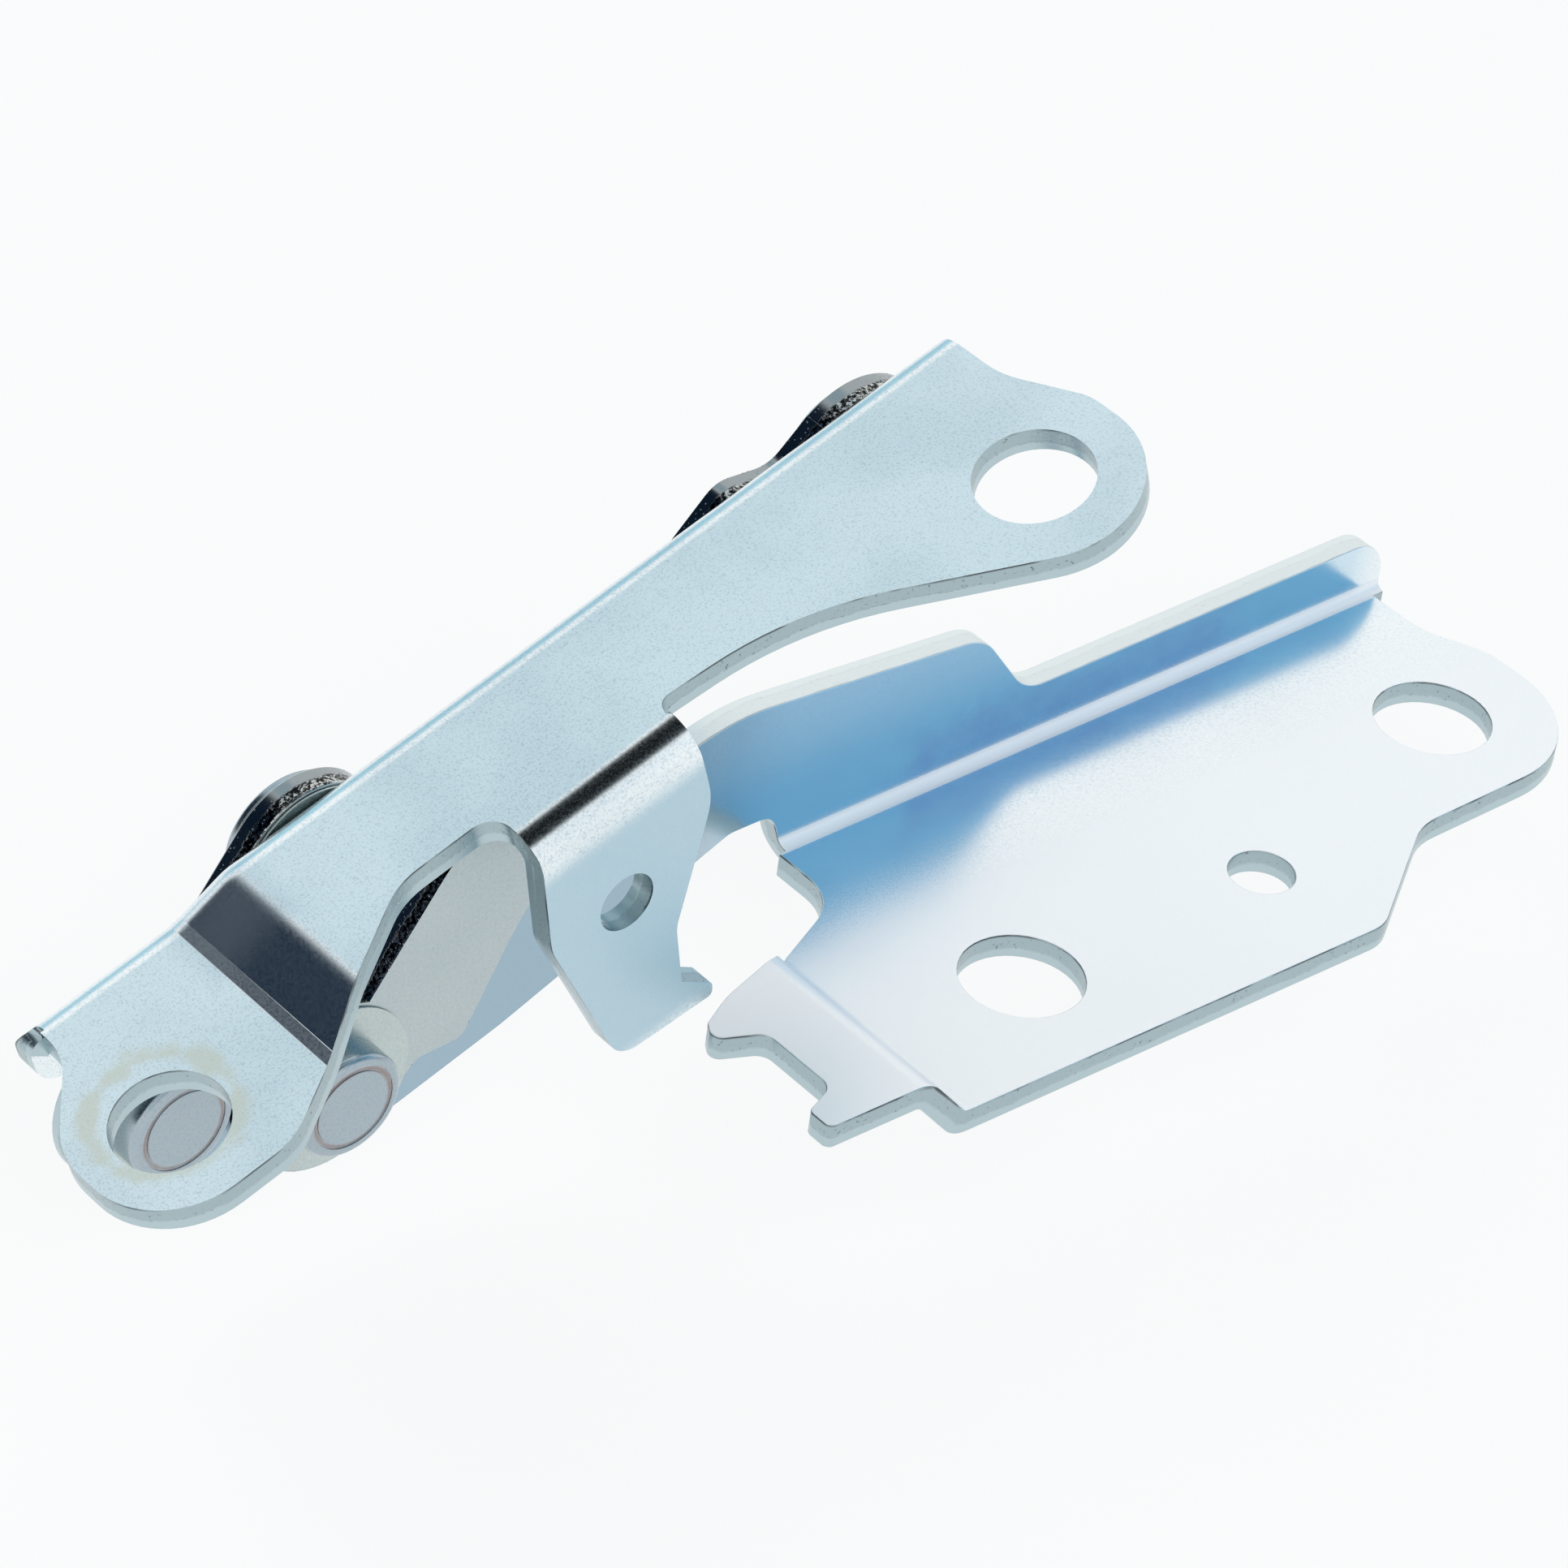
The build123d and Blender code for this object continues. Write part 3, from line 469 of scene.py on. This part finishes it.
@dataclass(frozen=True)
class Nodules:
    """Zinc nodules that plating grows on a blanked edge, except on its burnished rim."""

    per_mm2: float
    size_mm: float
    seed: int

    def tree(self) -> bpy.types.NodeTree:
        """Builds the node tree that scatters nodules on edge faces.

        Returns:
            The geometry node tree with named inputs.
        """
        tree = bpy.data.node_groups.new("zinc_nodules", "GeometryNodeTree")
        for name, kind in (
            ("Geometry", "NodeSocketGeometry"),
            ("Density", "NodeSocketFloat"),
            ("Nodule Size", "NodeSocketFloat"),
            ("Seed", "NodeSocketInt"),
            ("Nodule Material", "NodeSocketMaterial"),
        ):
            tree.interface.new_socket(name, in_out="INPUT", socket_type=kind)
        tree.interface.new_socket("Geometry", in_out="OUTPUT", socket_type="NodeSocketGeometry")
        given = add_node(tree, "NodeGroupInput").outputs
        index = add_node(tree, "GeometryNodeInputMaterialIndex").outputs[0]
        side = {COMPARE_INT_A: index, COMPARE_INT_B: Side.EDGE.value}
        cut = add_node(tree, "FunctionNodeCompare", side, data_type="INT", operation="EQUAL").outputs[0]
        depth = add_node(tree, "GeometryNodeInputNamedAttribute", {"Name": DEPTH}, data_type="FLOAT")
        limit = {0: depth.outputs[0], 1: NODULE_DEPTH}
        compare = add_node(tree, "FunctionNodeCompare", limit, data_type="FLOAT", operation="GREATER_THAN")
        deep = compare.outputs[0]
        chosen = add_node(tree, "FunctionNodeBooleanMath", {0: cut, 1: deep}, operation="AND").outputs[0]
        points = add_node(
            tree,
            "GeometryNodeDistributePointsOnFaces",
            {
                "Mesh": given["Geometry"],
                "Selection": chosen,
                "Density": given["Density"],
                "Seed": given["Seed"],
            },
        )
        sphere = {"Radius": given["Nodule Size"], "Subdivisions": BALL_SUBDIVISIONS}
        ball = add_node(tree, "GeometryNodeMeshIcoSphere", sphere).outputs["Mesh"]
        scale = add_node(
            tree,
            "FunctionNodeRandomValue",
            {"Min": NODULE_LEAST, "Max": NODULE_MOST, "Seed": given["Seed"]},
            data_type="FLOAT_VECTOR",
        ).outputs[0]
        set_out = add_node(
            tree,
            "GeometryNodeInstanceOnPoints",
            {
                "Points": points.outputs["Points"],
                "Instance": ball,
                "Rotation": points.outputs["Rotation"],
                "Scale": scale,
            },
        ).outputs["Instances"]
        real = add_node(tree, "GeometryNodeRealizeInstances", {"Geometry": set_out}).outputs["Geometry"]
        painted = {"Geometry": real, "Material": given["Nodule Material"]}
        coloured = add_node(tree, "GeometryNodeSetMaterial", painted).outputs["Geometry"]
        add_node(tree, "NodeGroupOutput", {"Geometry": coloured})
        return tree

    def build(self, name: str, host: bpy.types.Object, material: bpy.types.Material) -> bpy.types.Object:
        """Scatters the nodules over a finished piece.

        Args:
            name: name of the new object.
            host: piece whose edges they grow on.
            material: their material.

        Returns:
            A plain mesh object with every nodule.
        """
        tree = self.tree()
        carrier = bpy.data.objects.new(f"{name}_carrier", host.data)
        bpy.context.scene.collection.objects.link(carrier)
        modifier = carrier.modifiers.new("nodules", "NODES")
        modifier.node_group = tree
        values = {
            "Density": self.per_mm2 / (MM * MM),
            "Nodule Size": self.size_mm * MM,
            "Seed": self.seed,
            "Nodule Material": material,
        }
        for socket in tree.interface.items_tree:
            if socket.in_out == "INPUT" and socket.name in values:
                modifier[socket.identifier] = values[socket.name]
        mesh = bpy.data.meshes.new_from_object(carrier.evaluated_get(bpy.context.evaluated_depsgraph_get()))
        bpy.data.objects.remove(carrier)
        mesh.name = name
        mesh.shade_smooth()
        nodules = bpy.data.objects.new(name, mesh)
        bpy.context.scene.collection.objects.link(nodules)
        return nodules


class Side(Enum):
    """What a face of a sheet metal part is."""

    SKIN = 0
    EDGE = 1


def merged_copy(node: str) -> bmesh.types.BMesh:
    """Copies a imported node's mesh and joins its loose triangles.

    Args:
        node: name of the node.

    Returns:
        The joined mesh, still to be written back and freed.
    """
    work = bmesh.new()
    work.from_mesh(frame["nodes"][node].data)
    bmesh.ops.remove_doubles(work, verts=work.verts, dist=WELD_MM * MM)
    bmesh.ops.recalc_face_normals(work, faces=work.faces)
    return work


def plain_object(
    name: str, work: bmesh.types.BMesh, materials: list[bpy.types.Material], ease_mm: float
) -> bpy.types.Object:
    """Writes a mesh out as an object with rounded sharp edges.

    Args:
        name: name of the object.
        work: mesh, freed here.
        materials: materials by face index.
        ease_mm: width of the rounding.

    Returns:
        The finished object without modifiers.
    """
    mesh = bpy.data.meshes.new(f"{name}_raw")
    work.to_mesh(mesh)
    work.free()
    for material in materials:
        mesh.materials.append(material)
    raw = bpy.data.objects.new(f"{name}_raw", mesh)
    bpy.context.scene.collection.objects.link(raw)
    bevel = raw.modifiers.new("ease", "BEVEL")
    bevel.width = ease_mm * MM
    bevel.segments = EASE_SEGMENTS
    bevel.limit_method = "ANGLE"
    bevel.angle_limit = math.radians(SHARP_DEG)
    bevel.use_clamp_overlap = True
    bevel.face_strength_mode = "FSTR_ALL"
    weighted = raw.modifiers.new("weighted", "WEIGHTED_NORMAL")
    weighted.keep_sharp = True
    weighted.use_face_influence = True
    finished_mesh = bpy.data.meshes.new_from_object(raw.evaluated_get(bpy.context.evaluated_depsgraph_get()))
    finished_mesh.name = name
    bpy.data.objects.remove(raw)
    bpy.data.meshes.remove(mesh)
    finished = bpy.data.objects.new(name, finished_mesh)
    bpy.context.scene.collection.objects.link(finished)
    return finished


def paint_node(node: str, material: bpy.types.Material) -> None:
    """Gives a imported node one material.

    Args:
        node: name of the node.
        material: its material.
    """
    frame["nodes"][node].data.materials.clear()
    frame["nodes"][node].data.materials.append(material)


def dress(node: str, piece: bpy.types.Object, replaces: bool = True) -> None:
    """Puts a finished piece on its body, in place of its node or beside it.

    Args:
        node: node that the piece belongs to.
        piece: finished object.
        replaces: whether the piece stands for the node.
    """
    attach(piece, frame["nodes"][node]["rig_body"])
    if replaces:
        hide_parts(node)
    LOG.info("%s: %d faces", piece.name, len(piece.data.polygons))


@dataclass
class SheetPart:
    """A pressed bracket or a link: skin and blanked edges told apart, edges eased."""

    node: str
    slot: str
    skin: ZincFinish
    edge: ShearedEdge
    burnish_towards: Triple
    nodules: Nodules
    ease_mm: float = 0.2

    def build(self) -> None:
        """Makes the dressed piece and the nodules on its edges."""
        work = merged_copy(self.node)
        self._sort_faces(work)
        self._measure_depth(work)
        # Slivers inside flat faces would tilt the shading once the edges are eased
        bmesh.ops.dissolve_limit(
            work,
            angle_limit=math.radians(FLAT_DEG),
            use_dissolve_boundaries=False,
            verts=[],
            edges=work.edges,
            delimit={"MATERIAL"},
        )
        materials = [self.skin.material(), self.edge.material()]
        piece = plain_object(f"{self.node}_dressed", work, materials, self.ease_mm)
        paint_node(self.node, materials[0])
        grown = self.nodules.build(f"{self.node}_nodules", piece, materials[1])
        dress(self.node, piece)
        dress(self.node, grown, replaces=False)

    def _sort_faces(self, work: bmesh.types.BMesh) -> None:
        """Marks each face as skin or blanked edge by the metal behind it.

        Args:
            work: joined mesh of the node.
        """
        tree = BVHTree.FromBMesh(work)
        for face in work.faces:
            start = face.calc_center_median() - face.normal * PROBE_MM * MM
            distance = tree.ray_cast(start, -face.normal)[3] or 1.0
            skin = abs(distance + PROBE_MM * MM - SHEET_MM * MM) < SHEET_TOLERANCE_MM * MM
            face.material_index = Side.SKIN.value if skin else Side.EDGE.value
            face.smooth = True

    def _measure_depth(self, work: bmesh.types.BMesh) -> None:
        """Writes 0 on the burnished side of the sheet and 1 on the torn side.

        The two largest groups of skin are the sheet's sides. Smaller ones are edges that
        happen to have the sheet's thickness behind them.

        Args:
            work: mesh whose faces are already sorted.
        """
        layer = work.verts.layers.float.new(DEPTH)
        towards = Vector(self.burnish_towards)
        groups = skin_groups(work)
        for face in (face for group in groups[2:] for face in group):
            face.material_index = Side.EDGE.value
        for number, group in enumerate(groups[:2]):
            facing = sum((face.normal * face.calc_area() for face in group), Vector())
            depth = 0.0 if facing.dot(towards) > 0 else 1.0
            for face in group:
                for vertex in face.verts:
                    vertex[layer] = depth
            LOG.info("%s skin %d: %d faces, depth %.0f", self.node, number, len(group), depth)


def skin_groups(work: bmesh.types.BMesh) -> list[list[bmesh.types.BMFace]]:
    """Groups skin faces that join each other.

    Args:
        work: mesh whose faces are already sorted.

    Returns:
        The groups, the largest area first.
    """
    left = {face for face in work.faces if face.material_index == Side.SKIN.value}
    groups = []
    while left:
        queue = [left.pop()]
        group = []
        while queue:
            face = queue.pop()
            group.append(face)
            for edge in face.edges:
                for other in edge.link_faces:
                    if other in left and edge.calc_face_angle(0.0) < math.radians(SHARP_DEG):
                        left.remove(other)
                        queue.append(other)
        groups.append(group)
    groups.sort(key=lambda faces: -sum(face.calc_area() for face in faces))
    return groups


@dataclass
class TurnedPart:
    """A rivet, bush or washer with eased edges."""

    node: str
    slot: str
    finish: ZincFinish
    ease_mm: float = RIVET_EASE_MM

    def build(self) -> None:
        """Makes the dressed piece."""
        work = merged_copy(self.node)
        for face in work.faces:
            face.smooth = True
            face.material_index = 0
        material = self.finish.material()
        piece = plain_object(f"{self.node}_dressed", work, [material], self.ease_mm)
        paint_node(self.node, material)
        dress(self.node, piece)


@dataclass(frozen=True)
class Card:
    """A soft patch of the studio that the metal reflects."""

    direction: Triple
    inner_deg: float
    outer_deg: float
    colour: str


@dataclass(frozen=True)
class Lamp:
    """A square soft lamp aimed at the part, in metres and watts."""

    name: str
    place: Triple
    size: float
    watts: float
    target: Triple = (0.0, 0.0, 0.02)

    def build(self) -> None:
        """Makes the lamp, which metal doesn't mirror."""
        light = bpy.data.lights.new(self.name, "AREA")
        light.size = self.size
        light.energy = self.watts
        lamp = bpy.data.objects.new(self.name, light)
        lamp.location = self.place
        lamp.rotation_euler = (Vector(self.target) - Vector(self.place)).to_track_quat("-Z", "Y").to_euler()
        lamp.visible_glossy = False
        bpy.context.scene.collection.objects.link(lamp)


@dataclass(frozen=True)
class View:
    """The photograph's camera, as fitted to it."""

    place_mm: Triple = (-388.1, -341.9, 406.4)
    heading_deg: float = 44.32
    pitch_deg: float = 36.63
    roll_deg: float = -8.29
    lens_mm: float = 149.07
    sensor_mm: float = 36.0
    clip_m: Pair = (0.01, 50)

    def build(self) -> None:
        """Makes the camera and looks through it."""
        heading, pitch = math.radians(self.heading_deg), math.radians(self.pitch_deg)
        roll = math.radians(self.roll_deg)
        forward, aside = math.cos(pitch) * math.cos(heading), math.cos(pitch) * math.sin(heading)
        ahead = Vector((forward, aside, -math.sin(pitch)))
        level = ahead.cross(Vector((0, 0, 1))).normalized()
        down = ahead.cross(level)
        right = level * math.cos(roll) + down * math.sin(roll)
        below = down * math.cos(roll) - level * math.sin(roll)
        data = bpy.data.cameras.new("camera")
        data.sensor_width = self.sensor_mm
        data.lens = self.lens_mm
        data.clip_start, data.clip_end = self.clip_m
        camera = bpy.data.objects.new("camera", data)
        basis = Matrix((right, -below, -ahead)).transposed()
        camera.matrix_world = Matrix.Translation(Vector(self.place_mm) * MM) @ basis.to_4x4()
        bpy.context.scene.collection.objects.link(camera)
        bpy.context.scene.camera = camera


@dataclass
class Studio:
    """Pale floor, soft lamps, a white surround with toned cards, and the camera."""

    floor_z_mm: float = -23.0
    floor_half_m: float = 6.0
    floor_glow: float = 0.85
    lamps: tuple[Lamp, ...] = (
        Lamp("key", (-0.35, -0.75, 0.95), 0.7, 4.5),
        Lamp("fill", (-0.5, 0.65, 0.8), 0.8, 3.2),
    )
    cards: tuple[Card, ...] = (
        Card((0.05, 0.56, 0.83), 7, 13, "CFE1E9"),
        Card((0.30, 0.95, 0.10), 12, 25, "ABD3E2"),
        Card((0.03, -0.20, 1.00), 22, 30, "010305"),
        Card((-0.65, 0.56, 0.51), 25, 35, "13263A"),
        Card((0.62, -0.55, 0.57), 17, 31, "83BBDC"),
    )

    def build(self) -> None:
        """Makes the floor, the lamps, the surround and the camera."""
        self._floor()
        self._world()
        for lamp in self.lamps:
            lamp.build()
        View().build()
        bpy.context.scene.view_settings.view_transform = "Standard"

    def _floor(self) -> None:
        """Makes a wide pale floor under the part, low enough for the opened upper bracket."""
        half = self.floor_half_m
        mesh = bpy.data.meshes.new("floor")
        corners = [(-half, -half), (half, -half), (half, half), (-half, half)]
        mesh.from_pydata([(x, y, self.floor_z_mm * MM) for x, y in corners], [], [(0, 1, 2, 3)])
        floor = bpy.data.objects.new("floor", mesh)
        bpy.context.scene.collection.objects.link(floor)
        # White paper sweep
        material, tree, _ = new_material("white_paper_sweep")
        paper = add_node(tree, "ShaderNodeBsdfDiffuse", {"Color": linear("F6F8F8")}).outputs["BSDF"]
        white = {"Color": linear("FFFFFF"), "Strength": 1.0}
        glow = add_node(tree, "ShaderNodeEmission", white).outputs["Emission"]
        share = math_node(tree, "MULTIPLY", self._seen(tree), self.floor_glow)
        mixed = add_node(tree, "ShaderNodeMixShader", {0: share, 1: paper, 2: glow}).outputs["Shader"]
        add_node(tree, "ShaderNodeOutputMaterial", {"Surface": mixed})
        mesh.materials.append(material)

    def _seen(self, tree: bpy.types.NodeTree) -> bpy.types.NodeSocket:
        """Tells a ray that shows the background, straight, mirrored or let through.

        Args:
            tree: node tree that takes the nodes.

        Returns:
            1 for such a ray, 0 for any other.
        """
        path = add_node(tree, "ShaderNodeLightPath").outputs
        straight = math_node(tree, "MAXIMUM", path["Is Camera Ray"], path["Is Glossy Ray"])
        return math_node(tree, "MAXIMUM", straight, path["Is Transmission Ray"])

    def _world(self) -> None:
        """Makes the surround: white where it shows, with soft cards for the metal."""
        world = bpy.data.worlds.new("studio_surround")
        bpy.context.scene.world = world
        world.use_nodes = True
        tree = world.node_tree
        tree.nodes.clear()
        way = add_node(tree, "ShaderNodeTexCoord").outputs["Generated"]
        colour: Any = blend_colours(tree, self._seen(tree), linear("E4EAED"), linear("FFFFFF"))
        camera_ray = add_node(tree, "ShaderNodeLightPath").outputs["Is Camera Ray"]
        unseen = math_node(tree, "SUBTRACT", 1.0, camera_ray)
        for card in self.cards:
            towards = tuple(Vector(card.direction).normalized())
            facing = vector_node(tree, "DOT_PRODUCT", way, towards, output="Value")
            inner, outer = math.cos(math.radians(card.inner_deg)), math.cos(math.radians(card.outer_deg))
            mask = math_node(tree, "MULTIPLY", ramp(tree, facing, outer, inner), unseen)
            colour = blend_colours(tree, mask, colour, linear(card.colour))
        surround = add_node(tree, "ShaderNodeBackground", {"Color": colour, "Strength": 1.0})
        add_node(tree, "ShaderNodeOutputWorld", {"Surface": surround.outputs["Background"]})


# Upper bracket: pale blue zinc with dark blue grains, a dried ring round the front hole,
# a painted reflection greying the tab, and a painted dark reflection greying the far end of the drop
UPPER_ZINC = ZincFinish(
    "blue_zinc_on_upper_pressing",
    "F3FBFD",
    "86A4B4",
    0.19,
    0.4,
    grain_mm=0.26,
    bump=0.06,
    tints=(
        Tint(Zone.RING, (-88.75, 7.4, 60.1), (0.0, 6.9, 0.9), 1.6, "E2DECB", 0.65, TILT_DEG, 5.0),
        # painted reflection: the tab greyer and half matt, for the grey surface below that it mirrors
        Tint(Zone.BOX, (-38.0, 4.0, 43.0), (14.0, 3.2, 14.6), 3.0, "B6D0DB", 0.9, TILT_DEG, matt=0.5),
        # painted reflection: the far end of the drop greyer, for the dark surround it mirrors
        Tint(Zone.BOX, (-71.0, 20.0, 61.0), (4.0, 3.5, 3.0), 6.0, "9DB6C6", 0.5, TILT_DEG, matt=0.12),
    ),
)
# Lower bracket: bright zinc, bluer on the flange (the passivation's own blue and a painted reflection of a
# blue surround), with a violet streak, a painted greyer reflection on the arm, half matt on the plate, and a
# painted matt white highlight inside the bend
LOWER_ZINC = ZincFinish(
    "blue_zinc_on_lower_pressing",
    "EFF7FA",
    "B5C9D3",
    0.2,
    0.26,
    bump=0.04,
    tints=(
        # partly the blue passivation's own tint, partly a painted reflection of the blue surround on the
        # flange
        Tint(Zone.BOX, (30.0, 31.0, 12.0), (46.0, 1.8, 12.2), 9.0, "B7DAEE", 0.95),
        Tint(Zone.BOX, (34.0, 31.0, 6.6), (22.0, 1.8, 1.6), 9.0, "C6C4E2", 0.8, wobble=6.0),
        # painted reflection: the arm greyer blue
        Tint(Zone.BOX, (-75.0, 31.0, 8.0), (60.0, 15.0, 40.0), 20.0, "97B2C2", 0.9),
        Tint(Zone.BOX, (22.0, -4.0, 2.8), (80.0, 22.0, 14.0), 12.0, "FAFDFF", 0.9, matt=0.42),
        # painted highlight: a matt white band inside the bend
        Tint(Zone.BOX, (36.0, 29.2, 3.2), (50.0, 0.9, 0.75), 0.3, "FBFCFF", 0.95, matt=0.75),
    ),
)
# Links: greyer zinc on hot rolled strip
LINK_ZINC = ZincFinish("grey_zinc_on_hot_rolled_strip", "BFCACC", "98A9AD", 0.3, 0.3)
# Rivets: zinc on cold headed wire, a brown ring where the forming tool's edge held liquid
RIVET_COLOUR = "ADBBC3"
RIVET_MARK_MM = 4.55
# Washers: faintly green zinc
WASHER_ZINC = ZincFinish("zinc_on_stamped_washer", "C5D1D1", "98A08C", 0.3, 0.3)
# Bushes: plain bearing bronze
BRONZE = ZincFinish("sintered_bearing_bronze", "8C7350", "5E4A33", 0.45, 0.4)
# Blanked edges of the brackets: grey blue, with rare dark pits
PALE_EDGE = ShearedEdge(
    "blanked_edge_of_plated_sheet", "B9CCD1", "A9BCC1", "59646A", (0.6, 0.7), 0.4, 0.3, "4E5558"
)
# The same on the lower bracket, with a painted highlight on its flange's top edge
FLANGE_EDGE = replace(
    PALE_EDGE,
    name="blanked_edge_of_lower_bracket",
    # painted highlight on the flange's top edge
    tints=(Tint(Zone.BOX, (36.0, 31.0, 18.0), (60.0, 3.0, 12.0), 1.0, "F2F8F8", 0.7),),
)
# Blanked edges of the links: silvery tear with fine dark flecks
DARK_EDGE = ShearedEdge(
    "blanked_edge_of_plated_strip", "9AA2A5", "CDD1CF", "15181B", (0.4, 0.52), 0.5, 0.16, "DDE1E0", 0.4, 0.35
)
BRACKET_NODULES, LINK_NODULES = Nodules(0.9, 0.045, 7), Nodules(3.0, 0.07, 19)


def rivet_finish(name: str, pivot: Pair) -> ZincFinish:
    """Describes zinc on a cold headed rivet with the brown ring of the forming tool.

    Args:
        name: name of the material.
        pivot: the rivet's axis in X and Z, millimetres.

    Returns:
        The finish.
    """
    centre = (pivot[0], 0.0, pivot[1])
    ring = Tint(Zone.RING, centre, (1.0, RIVET_MARK_MM, 0.2), 0.6, "93776B", 0.7, wobble=0.6)
    return ZincFinish(name, RIVET_COLOUR, "8E98A4", 0.25, 0.32, bump=0.06, tints=(ring,))


def main() -> None:
    """Builds the studio and every piece in order."""
    Studio().build()
    below, far = (0.0, 0.0, -1.0), (0.0, 1.0, 0.0)
    parts: list[SheetPart | TurnedPart] = [
        SheetPart("lower_bracket", "zinc_sheet", LOWER_ZINC, FLANGE_EDGE, below, BRACKET_NODULES),
        SheetPart("upper_bracket", "zinc_sheet", UPPER_ZINC, PALE_EDGE, below, BRACKET_NODULES),
        SheetPart("main_link", "zinc_link", LINK_ZINC, DARK_EDGE, far, LINK_NODULES),
        SheetPart("short_link", "zinc_link", LINK_ZINC, DARK_EDGE, far, LINK_NODULES),
    ]
    for name, pivot in PIVOTS_MM.items():
        parts.append(TurnedPart(f"{name}_rivet", "zinc_rivet", rivet_finish(f"zinc_on_{name}_rivet", pivot)))
    for name in ("main_lower_bush", "short_lower_bush", "main_upper_bush"):
        parts.append(TurnedPart(name, "bearing_bronze", BRONZE, BUSH_EASE_MM))
    for name in ("main_lower", "short_lower", "main_upper", "short_upper_near", "short_upper_far"):
        parts.append(TurnedPart(f"{name}_washer", "zinc_washer", WASHER_ZINC, WASHER_EASE_MM))
    for part in parts:
        part.build()


if __name__ == "__main__":
    main()
